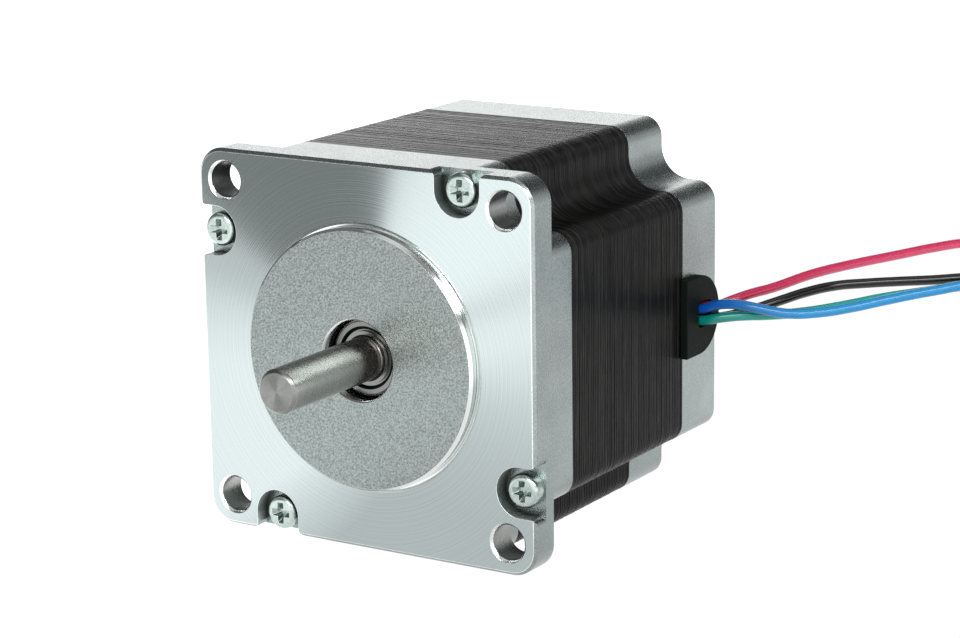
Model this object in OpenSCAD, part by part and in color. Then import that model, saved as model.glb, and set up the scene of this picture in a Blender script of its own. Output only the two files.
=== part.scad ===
// Hybrid stepper motor of the 57 mm frame size, with four flying leads.
// The shaft lies along Y and points to -Y, +Z is up, and the origin is the middle of the mounting face.

/* [Frame] */
// Width of the flange, the stator core and the rear cover across their flats
frame_w = 56.4; // [54:0.1:62]
// Thickness of the mounting flange
flange_t = 4.8; // [4:0.1:6]
// Length of the front cover from the mounting face to the stator core
front_cover_len = 10.1; // [9.6:0.1:14]
// Length of the stack of laminations
stack_len = 32.5; // [24:0.5:60]
// Length of the rear cover
rear_cover_len = 10.3; // [9.8:0.1:14]
// Radius of the flange's four corners
flange_corner_r = 4; // [2:0.1:6]
// Bevel round the flange's front edge
flange_bevel = 0.45; // [0.2:0.05:0.8]
// Side wall of the covers, at the flats
cover_wall = 3.2; // [2.4:0.1:3.6]

/* [Corner notches] */
// How far each corner notch cuts in from the flats
notch_depth = 9.1; // [8:0.1:10]
// Radius of the notch's inner corner
notch_inner_r = 4.8; // [2:0.1:6]
// Radius of the two outer corners beside each notch
notch_outer_r = 3; // [1.5:0.1:3.5]

/* [Mounting] */
// Distance of each mounting hole's axis from the two flats beside it
bolt_edge = 4.63; // [4:0.01:5.5]
// Diameter of the mounting holes
bolt_hole_d = 5.2; // [4.5:0.1:5.6]
// Bevel at the mouth of each mounting hole
bolt_hole_bevel = 0.35; // [0.2:0.05:0.6]
// Diameter of the pilot boss
pilot_d = 38.1; // [36:0.1:40]
// Height of the pilot boss
pilot_h = 1.6; // [1.4:0.1:2.4]
// Bevel round the pilot boss
pilot_bevel = 0.4; // [0.2:0.05:0.6]
// Width of the relief groove round the pilot boss
groove_w = 0.6; // [0.3:0.05:1]
// Depth of the relief groove
groove_depth = 0.35; // [0.2:0.05:0.6]

/* [Body screws] */
// Thread diameter of the four body screws
screw_d = 3; // [2.5:0.1:3.2]
// Diameter of the pan heads
head_d = 5; // [4.6:0.1:5.6]
// Height of the pan heads
head_h = 2.1; // [1.6:0.1:2.4]
// Depth of the pockets that the heads sit in
pocket_depth = 2.8; // [2.4:0.1:3.4]
// Width of the pockets
pocket_w = 7.3; // [6.4:0.1:8]
// Distance from a screw's axis to the flat that its pocket opens to
screw_edge = 2.7; // [2.5:0.1:3.2]
// Distance from a screw's axis to the notch beside it
screw_inset = 3.1; // [2.8:0.1:3.6]

/* [Shaft] */
// Diameter of the shaft
shaft_d = 6.35; // [5:0.05:6.6]
// Length of the shaft that stands out of the mounting face
shaft_out = 21; // [15:0.5:40]
// Bevel at the shaft's ends
shaft_bevel = 0.45; // [0.2:0.05:0.8]

/* [Bearings] */
// Outer diameter of both ball bearings
bearing_od = 15.875; // [15:0.005:18]
// Width of the bearings
bearing_w = 4.98; // [4.6:0.02:5.2]
// Diameter of the balls
ball_d = 2.38; // [2:0.01:2.8]
// Diameter of the hole in the pilot boss that shows the front bearing
boss_bore_d = 11.7; // [10:0.1:12.2]
// Depth of the front bearing's face behind the mounting face
front_bearing_y = 0.4; // [0.2:0.05:0.8]
// Wall of the hubs that hold the bearings
hub_wall = 2.4; // [1.8:0.1:3]
// Working height of the wave washer behind the rear bearing
washer_h = 0.8; // [0.6:0.05:1.1]

/* [Stator and rotor] */
// How far the windings reach along each pole; with the frame's width it settles the core's bore
winding_depth = 4.85; // [4:0.05:6]
// Air gap between the stator's and the rotor's teeth
air_gap = 0.1; // [0.08:0.01:0.2]
// Depth of the teeth
tooth_depth = 0.75; // [0.5:0.05:0.9]
// Width of each pole's shank
pole_w = 4.6; // [3.6:0.1:5]
// Thickness of the core's outer ring at the flats
yoke_t = 4; // [3.6:0.1:4.6]
// Thickness of the ring magnet between the rotor cups
magnet_t = 2.5; // [1.5:0.1:4]
// Gap between the windings of neighbouring poles, at their closest
winding_gap = 2.4; // [1.6:0.05:4]
// Room left between the end turns' frame and the covers
end_room = 0.9; // [0.6:0.05:1.6]
// Thickness of the terminal board
board_t = 1.2; // [0.8:0.1:1.4]

/* [Grommet and leads] */
// Height of the D-shaped grommet on the side
grommet_h = 12; // [10:0.1:14]
// Thickness of the grommet outside the cover
grommet_t = 1.2; // [0.8:0.1:2]
// Diameter of the leads over their insulation
lead_d = 1.5; // [1.3:0.05:1.6]
// Length of each lead, from the terminal block to the end of its tinned strands
lead_length = 300; // [280:5:320]

/* [Hidden] */
$fn = 72;
full_turn = 360;

// One overrun serves every cut, and one small clearance every press fit
overrun = 1;
fit_gap = 0.01;
running_gap = 0.1;

// Frame, worked out
half_w = frame_w / 2;
body_len = front_cover_len + stack_len + rear_cover_len;
stack_end = front_cover_len + stack_len;
notch_wall = half_w - notch_depth;
bolt_place = half_w - bolt_edge;
cavity_r = half_w - cover_wall;
rear_wall = 2.6;
rear_hub_wall = 1.4;

// The reliefs at the feet of the pilot and of the shaft's free end cut in by this much
undercut = 0.22;
shaft_relief_w = 0.9;

// Screws: each stands at this place in the upper right quarter, and turned by quarters in the others
screw_x = notch_wall - screw_inset;
screw_z = half_w - screw_edge;
screw_gap = 0.05;
screw_hole_r = screw_d / 2 + screw_gap;
screw_end_gap = 1.2;
pocket_mouth_r = 1;
head_edge_r = 0.7;
recess_w = 1;
recess_span = 3.1;
recess_depth = 1.2;
rim_depth = 0.5;

// Bearings, worked out
shaft_r = shaft_d / 2;
bearing_r = bearing_od / 2;
ball_circle_r = (shaft_r + bearing_r) / 2;
ball_count = 8;
ball_gap = 0.03;
race_share = 0.52;
race_r = race_share * ball_d;
land_depth = 0.35;
inner_land_r = ball_circle_r - ball_d / 2 + land_depth;
outer_land_r = ball_circle_r + ball_d / 2 - land_depth;
face_step = 0.82;
inner_face_r = inner_land_r - face_step;
inner_step = 0.5;
ring_bevel = 0.22;
shield_t = 0.2;
shield_gap = 0.46;
shield_in_r = inner_face_r + shield_gap;
shield_inset = 0.15;
shield_step = 0.25;
shield_step_r = ball_circle_r - shield_t;
shield_seat = 0.2;
cage_t = 0.9;
cage_side = 0.3;
seat_r = bearing_r + fit_gap;
hub_r = seat_r + hub_wall;
hub_lip = 0.6;
boss_bevel = 0.25;
lip_back = 0.4;
lip_back_r = (boss_bore_d / 2 + bearing_r) / 2;
rear_pocket_end = body_len - rear_hub_wall;
rear_bearing_y = rear_pocket_end - washer_h - bearing_w;
washer_t = 0.3;
washer_w = 1.9;
washer_waves = 3;
washer_steps = 36;
shaft_end_gap = 0.6;

// Stator and rotor, worked out
teeth = 50;
tooth_pitch = 360 / teeth;
tooth_share = 0.4;
poles = 8;
pole_teeth = 6;
yoke_r = half_w - yoke_t;
yoke_gap = 1.3;
shoe_gap = 0.2;
shoe_t = 1.1;
shoe_rise = 0.7;
winding_out_r = yoke_r - yoke_gap;
winding_in_r = winding_out_r - winding_depth;
shoe_r = winding_in_r - shoe_gap - shoe_rise;
bore_r = shoe_r - shoe_t - tooth_depth;
rotor_r = bore_r - air_gap;
magnet_inset = 0.6;
cup_len = (stack_len - magnet_t) / 2;
spacer_wall = 1.8;

// Insulators and windings
plate_t = 1;
liner_t = 0.4;
liner_gap = 0.04;
liner_reach_share = 0.3;
guard_t = 0.8;
guard_rise = 0.3;
slack = 0.05;
half_sector = 180 / poles;
winding_t = winding_in_r * tan(half_sector) - winding_gap / 2 / cos(half_sector)
    - pole_w / 2 - liner_gap - liner_t - slack;
end_turn_t = min(front_cover_len - flange_t, rear_cover_len - rear_wall - board_t) - plate_t - end_room;
guard_h = end_turn_t + guard_rise;
winding_corner_r = 2.2;
winding_core_r = 0.4;
guard_angle = 15;
guard_opening_angle = 13;

// Terminal board and its block, and the grommet in the rear cover's side
board_angle = 40;
board_y = stack_end + plate_t + guard_h;
board_in_r = shoe_r - guard_t;
board_gap = 0.4;
board_out_r = cavity_r - board_gap;
lead_gap = 0.3;
lead_pitch = lead_d + lead_gap;
block_l = 1;
block_rim = 0.3;
block_h = 2 * (lead_pitch + block_rim);
block_x = cavity_r - block_rim;
grommet_back_r = grommet_h / 2;
grommet_overlap = 0.7;
grommet_front = stack_end - grommet_overlap;
grommet_place = 3.5;
grommet_mid = stack_end + grommet_place;
lead_shift = 1.4;
lead_mid_y = grommet_mid + lead_shift;
neck_r = 3.3;
neck_shift = 0.9;
neck_mid = grommet_mid + neck_shift;
window_rim = 0.1;
window_w = 2 * (lead_pitch + window_rim);
window_r = 0.6;

// Each free lead's own points, from just outside the grommet down to its put-away turns
blue_route = [
    [32, 46.7, 1.8], [35.2, 47, 2.1], [38.8, 47.6, 1.7], [42.3, 49.1, 1.1], [46.2, 51.5, 1.2],
    [50, 54.2, 1.8], [54.5, 57, 2.9], [60.5, 60.2, 4.3], [67, 63.4, 5.4], [72.5, 66, 4.2],
    [76.5, 67.8, 1], [79.5, 69.2, -4.5], [81.7, 70.4, -10.5], [83.5, 71.5, -16.2],
    [85.2, 72.4, -20.7], [86.8, 73.1, -23.6], [88.8, 73.8, -25.6]];
green_route = [
    [32, 46.9, -0.3], [34.8, 48.1, 0.1], [39, 50.2, 0.3], [43.3, 53.4, 0.6], [48, 56.8, 1.4],
    [53, 60, 2.5], [57.5, 63.8, 3.1], [62, 67.6, 3.7], [66.5, 70.3, 4.1], [71, 72.2, 3.2],
    [75.5, 73.6, 0.6], [79, 74.6, -4.2], [82, 75.2, -10], [85, 75.6, -16], [88.2, 75.6, -21],
    [91.8, 74.8, -24.1]];
red_route = [
    [31.2, 48.7, 1.3], [32.9, 50.1, 2], [34.3, 52.4, 2.5], [36.2, 56, 2.9], [39.5, 63.4, 4],
    [43, 70.8, 4.5], [46.8, 78.5, 4.8], [50, 84.5, 5.1], [53.8, 90.5, 5.2], [59, 95.5, 4.6],
    [65.5, 98.3, 3], [72.5, 98.5, 0.2], [79, 96.5, -3.6], [85, 93, -8], [90.5, 88.5, -12.8],
    [95.7, 83.2, -17.2], [100.4, 77, -20.1], [103.8, 70, -21.2]];
black_route = [
    [32.2, 48.9, -0.4], [35, 50.4, 0.4], [38.5, 54, 1.6], [41, 58, 2.4], [44, 62.1, 2.9],
    [48, 64.8, 3.2], [52.5, 66.6, 3.6], [57, 68.1, 4], [61.5, 69.8, 4.5], [66, 72.4, 4.7],
    [70.5, 75, 3.8], [75, 77, 1.2], [79.5, 78.4, -3.2], [84, 79, -8.5], [88.3, 78.5, -14.3],
    [92.4, 76.9, -19.5], [96.2, 74.9, -22.4]];
RED = 0;
BLACK = 1;
BLUE = 2;
GREEN = 3;
routes = [red_route, black_route, blue_route, green_route];

// Where the leads stand at the block, in steps of half a pitch along the shaft and up
lead_places = [[1, 1], [1, -1], [-1, 1], [-1, -1]];
lead_sides = 8;

// The put-away turns: one flat spiral for each lead, laid on each other and held by a tie
coil_x = 92;
coil_y = 60;
coil_out_r = 13.5;
coil_pitch = 2.05;
coil_rings = 24;
coil_sides = 6;
hook_r = 3.2;
hook_rings = 6;
tip_len = 5;
tip_d = 0.8;
tie_angle = 200;
tie_w = 2.5;
tie_t = 0.6;
tie_gap = 0.2;
tie_corner_r = 1.2;

// The angle at which each lead joins its spiral, and the spiral's place in the pile
entry_angles = [12, 45, 80, 62];
coil_layers = [3, 2, 0, 1];
layer_rise = lead_d + lead_gap;
layer_z = tie_t + tie_gap + lead_d / 2 - half_w;

// A flat outline, drawn as seen from the front, from one distance along the shaft to another
module slab(from, to) {
    translate([0, to, 0]) rotate([90, 0, 0]) linear_extrude(to - from) children();
}

// A turned piece: its profile is drawn as radius and distance along the shaft
module turned() {
    rotate([-90, 0, 0]) rotate_extrude() children();
}

module four_times() {
    for (k = [0 : 3]) rotate(90 * k) children();
}

module four_times_round() {
    for (k = [0 : 3]) rotate([0, 90 * k, 0]) children();
}

// A square's corner taken off to a radius: what lies outside the arc at the corner of [0, 0]
module corner_waste(r) {
    difference() {
        translate([-r, -r]) square(r + overrun);
        translate([-r, -r]) circle(r);
        translate([-r - overrun, -r - overrun]) square([overrun, r + 2 * overrun]);
    }
}

module rounded_square(w, r) {
    difference() {
        square(w, center = true);
        four_times() translate([w / 2, w / 2]) intersection() {
            corner_waste(r);
            translate([-r, -r]) square(r + overrun);
        }
    }
}

module rounded_box_outline(w, h, r) {
    square([w - 2 * r, h], center = true);
    square([w, h - 2 * r], center = true);
    for (x = [-1, 1], y = [-1, 1])
        translate([x * (w / 2 - r), y * (h / 2 - r)]) circle(r, $fn = 24);
}

// The square with a notch in each corner that the core and both covers share
module notched_outline() {
    difference() {
        square(frame_w, center = true);
        four_times() {
            difference() {
                translate([notch_wall, notch_wall]) square(notch_depth + overrun);
                difference() {
                    translate([notch_wall, notch_wall]) square(notch_inner_r);
                    translate([notch_wall + notch_inner_r, notch_wall + notch_inner_r])
                        circle(notch_inner_r);
                }
            }
            translate([notch_wall, half_w]) intersection() {
                corner_waste(notch_outer_r);
                translate([-notch_outer_r, -notch_outer_r]) square(notch_outer_r + overrun);
            }
            translate([half_w, notch_wall]) intersection() {
                corner_waste(notch_outer_r);
                translate([-notch_outer_r, -notch_outer_r]) square(notch_outer_r + overrun);
            }
        }
    }
}

module screw_places() {
    four_times() translate([screw_x, screw_z]) children();
}

// A pocket's outline: a round end that runs out through the flat with a small flare at its mouth
module pocket_outline() {
    circle(pocket_w / 2, $fn = 48);
    translate([-pocket_w / 2, 0]) square([pocket_w, screw_edge + overrun]);
    for (side = [-1, 1]) difference() {
        translate([side * (pocket_w + pocket_mouth_r) / 2, screw_edge + (overrun - pocket_mouth_r) / 2])
            square([pocket_mouth_r, pocket_mouth_r + overrun], center = true);
        translate([side * (pocket_w / 2 + pocket_mouth_r), screw_edge - pocket_mouth_r])
            circle(pocket_mouth_r, $fn = 24);
    }
}

// Bevels the front edge of the flange: along each side, and round each corner
module flange_edge_waste() {
    for (k = [0 : 3]) rotate([0, 90 * k, 0]) {
        translate([-half_w + flange_corner_r, 0, 0]) rotate([90, 0, 90])
            linear_extrude(frame_w - 2 * flange_corner_r)
                polygon([[-overrun, half_w - flange_bevel - overrun], [flange_bevel, half_w],
                    [flange_bevel, half_w + overrun], [-overrun, half_w + overrun]]);
        intersection() {
            translate([half_w - flange_corner_r, 0, half_w - flange_corner_r]) turned()
                polygon([[flange_corner_r - flange_bevel - overrun, -overrun],
                    [flange_corner_r, flange_bevel], [flange_corner_r + overrun, flange_bevel],
                    [flange_corner_r + overrun, -overrun]]);
            translate([half_w - flange_corner_r, -overrun, half_w - flange_corner_r])
                cube([flange_corner_r + overrun, 2 * overrun, flange_corner_r + overrun]);
        }
    }
}

module front_cover() {
    hub_end = front_bearing_y + bearing_w + hub_lip;
    pilot_r = pilot_d / 2;
    boss_bore_r = boss_bore_d / 2;
    hole_r = bolt_hole_d / 2;
    color([0.72, 0.74, 0.74]) difference() {
        union() {
            difference() {
                slab(0, flange_t) rounded_square(frame_w, flange_corner_r);
                flange_edge_waste();
            }
            difference() {
                slab(flange_t, front_cover_len) notched_outline();
                slab(flange_t, front_cover_len + overrun) circle(cavity_r, $fn = 96);
            }
            turned() polygon([[0, 0], [0, -pilot_h], [pilot_r - pilot_bevel, -pilot_h],
                [pilot_r, pilot_bevel - pilot_h], [pilot_r, 0]]);
            slab(flange_t, hub_end) circle(hub_r);
        }
        // relief groove at the foot of the pilot
        turned() polygon([[pilot_r, -overrun], [pilot_r, 0], [pilot_r - undercut, undercut],
            [pilot_r - undercut, groove_depth], [pilot_r + groove_w - groove_depth, groove_depth],
            [pilot_r + groove_w, 0], [pilot_r + groove_w, -overrun]]);
        // bore of the pilot, the relief behind its lip, and the bearing's seat
        turned() polygon([[0, -pilot_h - overrun],
            [boss_bore_r + boss_bevel + overrun, -pilot_h - overrun],
            [boss_bore_r, boss_bevel - pilot_h], [boss_bore_r, -lip_back], [lip_back_r, -lip_back],
            [lip_back_r, front_bearing_y], [seat_r, front_bearing_y], [seat_r, hub_end + overrun],
            [0, hub_end + overrun]]);
        four_times_round() {
            translate([bolt_place, 0, bolt_place]) turned()
                polygon([[0, -overrun], [hole_r + bolt_hole_bevel + overrun, -overrun],
                    [hole_r, bolt_hole_bevel], [hole_r, flange_t + overrun], [0, flange_t + overrun]]);
        }
        slab(-overrun, pocket_depth) screw_places() pocket_outline();
        slab(pocket_depth - overrun, front_cover_len + overrun)
            screw_places() circle(screw_hole_r, $fn = 32);
    }
}

// One pole's shoe: teeth on the inside, a sloping back on the outside, as angle and radius
function polar(angle, r) = [r * cos(angle), r * sin(angle)];
function shoe_points() =
    let (
        half_tooth = tooth_share * tooth_pitch / 2,
        edge = (pole_teeth - 1) / 2 * tooth_pitch + half_tooth)
    concat(
        [for (t = [0 : pole_teeth - 1])
            let (mid = (t - (pole_teeth - 1) / 2) * tooth_pitch)
            each [
                polar(mid - half_tooth, bore_r + (t == 0 ? 0 : tooth_depth)),
                polar(mid - half_tooth, bore_r), polar(mid, bore_r), polar(mid + half_tooth, bore_r),
                if (t < pole_teeth - 1) polar(mid + half_tooth, bore_r + tooth_depth)]],
        [polar(edge, shoe_r - shoe_rise / 2),
            [shoe_r + shoe_rise, pole_w / 2], [shoe_r + shoe_rise, -pole_w / 2],
            polar(-edge, shoe_r - shoe_rise / 2)]);

module stator_core() {
    color([0.08, 0.08, 0.08]) slab(front_cover_len, stack_end) difference() {
        notched_outline();
        difference() {
            circle(yoke_r, $fn = 96);
            for (p = [0 : poles - 1]) rotate(p * 360 / poles) {
                polygon(shoe_points());
                translate([shoe_r, -pole_w / 2]) square([yoke_r + overrun - shoe_r, pole_w]);
            }
        }
        screw_places() circle(screw_hole_r, $fn = 32);
    }
}

module rear_cover() {
    color([0.66, 0.68, 0.68]) difference() {
        slab(stack_end, body_len) notched_outline();
        difference() {
            slab(stack_end - overrun, body_len - rear_wall) circle(cavity_r, $fn = 96);
            slab(rear_bearing_y + hub_lip, body_len) circle(hub_r);
        }
        slab(rear_bearing_y - overrun, rear_pocket_end) circle(seat_r);
        slab(stack_end - overrun, body_len + overrun) screw_places() circle(screw_hole_r, $fn = 32);
        // slot in the side for the grommet's neck, open towards the core
        translate([cavity_r - overrun, 0, 0])
            along_x(cover_wall + 2 * overrun) neck_outline(neck_r + slack);
    }
}

// Extrudes an outline drawn as distance along the shaft and height, towards +X
module along_x(len) {
    multmatrix([[0, 0, 1, 0], [1, 0, 0, 0], [0, 1, 0, 0], [0, 0, 0, 1]]) linear_extrude(len) children();
}

module neck_outline(r) {
    translate([neck_mid, 0]) circle(r, $fn = 48);
    translate([stack_end - overrun, -r]) square([neck_mid - stack_end + overrun, 2 * r]);
}

// Four long pan-head screws with cross recesses
module body_screws() {
    shank_end = body_len - screw_end_gap;
    head_r = head_d / 2;
    color([0.75, 0.76, 0.78]) four_times_round() translate([screw_x, 0, screw_z]) difference() {
        turned() polygon(concat([[0, shank_end], [screw_d / 2, shank_end], [screw_d / 2, pocket_depth],
            [head_r, pocket_depth]],
            [for (a = [0 : 15 : 90]) [head_r - head_edge_r * (1 - cos(a)),
                pocket_depth - head_h + head_edge_r * (1 - sin(a))]],
            [[0, pocket_depth - head_h]]));
        for (turn = [0, 90]) rotate([0, turn, 0])
            translate([-recess_span / 2, pocket_depth - head_h - overrun, -recess_w / 2])
                cube([recess_span, overrun + recess_depth, recess_w]);
    }
}

// A moulded frame on one end of the core: plate, guards beside the windings, and slot liners
module insulator() {
    arm_w = pole_w + 2 * (liner_gap + liner_t) + slack;
    reach = liner_reach_share * stack_len;
    plate_mid = -plate_t / 2;
    guard_top = plate_t + guard_h;
    slab(-plate_t, 0) {
        ring_outline(yoke_r - guard_t, yoke_r + guard_t / 2);
        for (p = [0 : poles - 1]) rotate(p * 360 / poles) {
            translate([shoe_r, -arm_w / 2]) square([yoke_r - shoe_r, arm_w]);
            sector_outline(shoe_r - guard_t, shoe_r + guard_t, guard_angle);
        }
    }
    slab(-guard_top, plate_mid) {
        for (p = [0 : poles - 1]) rotate(p * 360 / poles)
            sector_outline(shoe_r - guard_t + slack, shoe_r, guard_angle - 1);
        difference() {
            ring_outline(yoke_r - guard_t / 4, yoke_r + guard_t / 4);
            polygon([[0, 0], polar(-guard_opening_angle, 2 * yoke_r),
                polar(guard_opening_angle, 2 * yoke_r)]);
        }
    }
    slab(plate_mid, reach) for (p = [0 : poles - 1], side = [-1, 1]) rotate(p * 360 / poles)
        translate([winding_in_r, side * (pole_w / 2 + liner_gap + liner_t / 2) - liner_t / 2])
            square([winding_out_r - winding_in_r, liner_t]);
}

module ring_outline(r_in, r_out) {
    difference() {
        circle(r_out, $fn = 96);
        circle(r_in, $fn = 96);
    }
}

module sector_outline(r_in, r_out, span) {
    intersection() {
        ring_outline(r_in, r_out);
        polygon([[0, 0], polar(-span, 2 * r_out), polar(0, 2 * r_out), polar(span, 2 * r_out)]);
    }
}

module front_insulator() {
    color([0.16, 0.16, 0.17]) translate([0, front_cover_len, 0]) insulator();
}

module rear_insulator() {
    color([0.16, 0.16, 0.17]) translate([0, stack_end, 0]) mirror([0, 1, 0]) insulator();
}

// The windings on every other pole make one phase
module windings(first) {
    core_w = pole_w + 2 * (liner_gap + liner_t + slack);
    core_l = stack_len + 2 * (plate_t + slack);
    for (p = [first : 2 : poles - 1]) rotate([0, -p * 360 / poles, 0])
        translate([winding_in_r, (front_cover_len + stack_end) / 2, 0])
            along_x(winding_out_r - winding_in_r) difference() {
                rounded_box_outline(
                    core_l + 2 * (end_turn_t - slack), core_w + 2 * winding_t, winding_corner_r);
                rounded_box_outline(core_l, core_w, winding_core_r);
            }
}

module phase_a_windings() {
    color([0.72, 0.38, 0.16]) windings(0);
}

module phase_b_windings() {
    color([0.66, 0.33, 0.14]) windings(1);
}

// A curved board on the rear insulator, with the block that holds the leads' inner ends
module terminal_board() {
    color([0.1, 0.3, 0.16]) {
        slab(board_y, board_y + board_t) difference() {
            sector_outline(board_in_r, board_out_r, board_angle);
            translate([block_x - block_l - slack, -block_h / 2 - slack])
                square([block_l + cover_wall, block_h + 2 * slack]);
        }
        translate([block_x - block_l - slack, 0, 0]) along_x(block_l + slack)
            translate([lead_mid_y, 0]) square(block_h, center = true);
    }
}

// Straight in front, where it laps over the core, and round at the back
module grommet_outline() {
    translate([grommet_front, -grommet_back_r]) square([grommet_mid - grommet_front, grommet_h]);
    intersection() {
        translate([grommet_mid, 0]) circle(grommet_back_r);
        translate([grommet_front, -grommet_h]) square(2 * grommet_h);
    }
}

module lead_grommet() {
    color([0.06, 0.06, 0.06]) difference() {
        union() {
            translate([half_w, 0, 0]) along_x(grommet_t) grommet_outline();
            intersection() {
                translate([cavity_r, 0, 0]) along_x(cover_wall) neck_outline(neck_r);
                translate([cavity_r, stack_end, -half_w]) cube([cover_wall, rear_cover_len, frame_w]);
            }
        }
        translate([cavity_r - overrun, 0, 0]) along_x(cover_wall + grommet_t + 2 * overrun)
            translate([lead_mid_y, 0]) rounded_box_outline(window_w, window_w, window_r);
    }
}

// A thin ring that waves three times round, squeezed between the rear bearing and the cover
function washer_wave(step) =
    (washer_h - washer_t) / 2 * (1 + cos(washer_waves * step * 360 / washer_steps));
function washer_corner(step, c) =
    let (
        a = step * 360 / washer_steps,
        r = bearing_r - ((c == 0 || c == 3) ? washer_w : 2 * slack),
        lift = washer_wave(step) + (c > 1 ? washer_t : 0))
    [r * cos(a), lift, r * sin(a)];
module wave_washer() {
    points = [for (s = [0 : washer_steps - 1], c = [0 : 3]) washer_corner(s, c)];
    color([0.6, 0.6, 0.62]) translate([0, rear_bearing_y + bearing_w, 0])
        polyhedron(points, [for (s = [0 : washer_steps - 1], c = [0 : 3])
            let (a = 4 * s + c, b = 4 * s + (c + 1) % 4,
                d = 4 * ((s + 1) % washer_steps) + c, e = 4 * ((s + 1) % washer_steps) + (c + 1) % 4)
            each [[a, b, e], [a, e, d]]]);
}

// Ball bearing, drawn from its front face at the origin
module bearing_outer_ring() {
    mid = bearing_w / 2;
    seat_w = shield_inset + shield_step + shield_t;
    turned() difference() {
        polygon([[outer_land_r, 0], [bearing_r - ring_bevel, 0], [bearing_r, ring_bevel],
            [bearing_r, bearing_w - ring_bevel], [bearing_r - ring_bevel, bearing_w],
            [outer_land_r, bearing_w]]);
        translate([ball_circle_r - (race_r - ball_d / 2) + ball_gap, mid]) circle(race_r, $fn = 48);
        for (side = [0, 1]) translate([outer_land_r - overrun, side * (bearing_w - seat_w)])
            square([overrun + shield_seat, seat_w]);
    }
}

module bearing_inner_ring() {
    mid = bearing_w / 2;
    bore = shaft_r + fit_gap;
    step_end = bearing_w - inner_step;
    turned() difference() {
        polygon([[bore + ring_bevel, 0], [inner_face_r, 0], [inner_face_r, inner_step],
            [inner_land_r, inner_step], [inner_land_r, step_end], [inner_face_r, step_end],
            [inner_face_r, bearing_w], [bore + ring_bevel, bearing_w], [bore, bearing_w - ring_bevel],
            [bore, ring_bevel]]);
        translate([ball_circle_r + (race_r - ball_d / 2) - ball_gap, mid]) circle(race_r, $fn = 48);
    }
}

// The shield's middle stands proud of its rim by a pressed step
module bearing_shield() {
    rim_r = outer_land_r + shield_seat - slack;
    turned() polygon([[shield_in_r, shield_inset], [shield_step_r, shield_inset],
        [shield_step_r + shield_step, shield_inset + shield_step], [rim_r, shield_inset + shield_step],
        [rim_r, shield_inset + shield_step + shield_t],
        [shield_step_r + shield_step - shield_t / 2, shield_inset + shield_step + shield_t],
        [shield_step_r - shield_t / 2, shield_inset + shield_t], [shield_in_r, shield_inset + shield_t]]);
}

module bearing_shields() {
    bearing_shield();
    translate([0, bearing_w, 0]) mirror([0, 1, 0]) bearing_shield();
}

module bearing_balls() {
    for (b = [0 : ball_count - 1]) rotate([0, b * 360 / ball_count, 0])
        translate([ball_circle_r, bearing_w / 2, 0]) sphere(ball_d / 2, $fn = 24);
}

module bearing_cage() {
    half = ball_d / 2 + cage_side;
    difference() {
        turned() translate([ball_circle_r - cage_t / 2, bearing_w / 2 - half]) square([cage_t, 2 * half]);
        for (b = [0 : ball_count - 1]) rotate([0, b * 360 / ball_count, 0])
            translate([ball_circle_r - cage_t, bearing_w / 2, 0]) rotate([0, 90, 0])
                cylinder(h = 2 * cage_t, r = ball_d / 2 + running_gap / 2, $fn = 24);
    }
}

module front_bearing_outer_ring() {
    color([0.7, 0.7, 0.72]) translate([0, front_bearing_y, 0]) bearing_outer_ring();
}

module rear_bearing_outer_ring() {
    color([0.7, 0.7, 0.72]) translate([0, rear_bearing_y, 0]) bearing_outer_ring();
}

module front_bearing_inner_ring() {
    color([0.74, 0.74, 0.76]) translate([0, front_bearing_y, 0]) bearing_inner_ring();
}

module rear_bearing_inner_ring() {
    color([0.74, 0.74, 0.76]) translate([0, rear_bearing_y, 0]) bearing_inner_ring();
}

module front_bearing_shields() {
    color([0.62, 0.63, 0.64]) translate([0, front_bearing_y, 0]) bearing_shields();
}

module rear_bearing_shields() {
    color([0.62, 0.63, 0.64]) translate([0, rear_bearing_y, 0]) bearing_shields();
}

module front_bearing_cage() {
    color([0.78, 0.66, 0.4]) translate([0, front_bearing_y, 0]) bearing_cage();
}

module rear_bearing_cage() {
    color([0.78, 0.66, 0.4]) translate([0, rear_bearing_y, 0]) bearing_cage();
}

module front_bearing_balls() {
    color([0.8, 0.8, 0.82]) translate([0, front_bearing_y, 0]) bearing_balls();
}

module rear_bearing_balls() {
    color([0.8, 0.8, 0.82]) translate([0, rear_bearing_y, 0]) bearing_balls();
}

module output_shaft() {
    end = rear_pocket_end - shaft_end_gap;
    relief_end = front_bearing_y - undercut;
    relief_start = relief_end - shaft_relief_w;
    relief_r = shaft_r - undercut;
    color([0.62, 0.62, 0.62]) turned() polygon([[0, -shaft_out], [shaft_r - shaft_bevel, -shaft_out],
        [shaft_r, shaft_bevel - shaft_out], [shaft_r, relief_start - undercut],
        [relief_r, relief_start], [relief_r, relief_end - undercut], [shaft_r, relief_end],
        [shaft_r, end - shaft_bevel], [shaft_r - shaft_bevel, end], [0, end]]);
}

// A rotor cup: fifty teeth round a steel ring that is pressed on the shaft
module rotor_cup(turn) {
    half_tooth = tooth_share * tooth_pitch / 2;
    root_r = rotor_r - tooth_depth;
    difference() {
        rotate(turn) polygon([for (t = [0 : teeth - 1]) each [
            polar(t * tooth_pitch - half_tooth, root_r), polar(t * tooth_pitch - half_tooth, rotor_r),
            polar(t * tooth_pitch + half_tooth, rotor_r), polar(t * tooth_pitch + half_tooth, root_r)]]);
        circle(shaft_r + fit_gap);
    }
}

module front_rotor_cup() {
    color([0.45, 0.45, 0.47]) slab(front_cover_len, front_cover_len + cup_len) rotor_cup(0);
}

module rear_rotor_cup() {
    color([0.45, 0.45, 0.47]) slab(stack_end - cup_len, stack_end) rotor_cup(tooth_pitch / 2);
}

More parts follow.
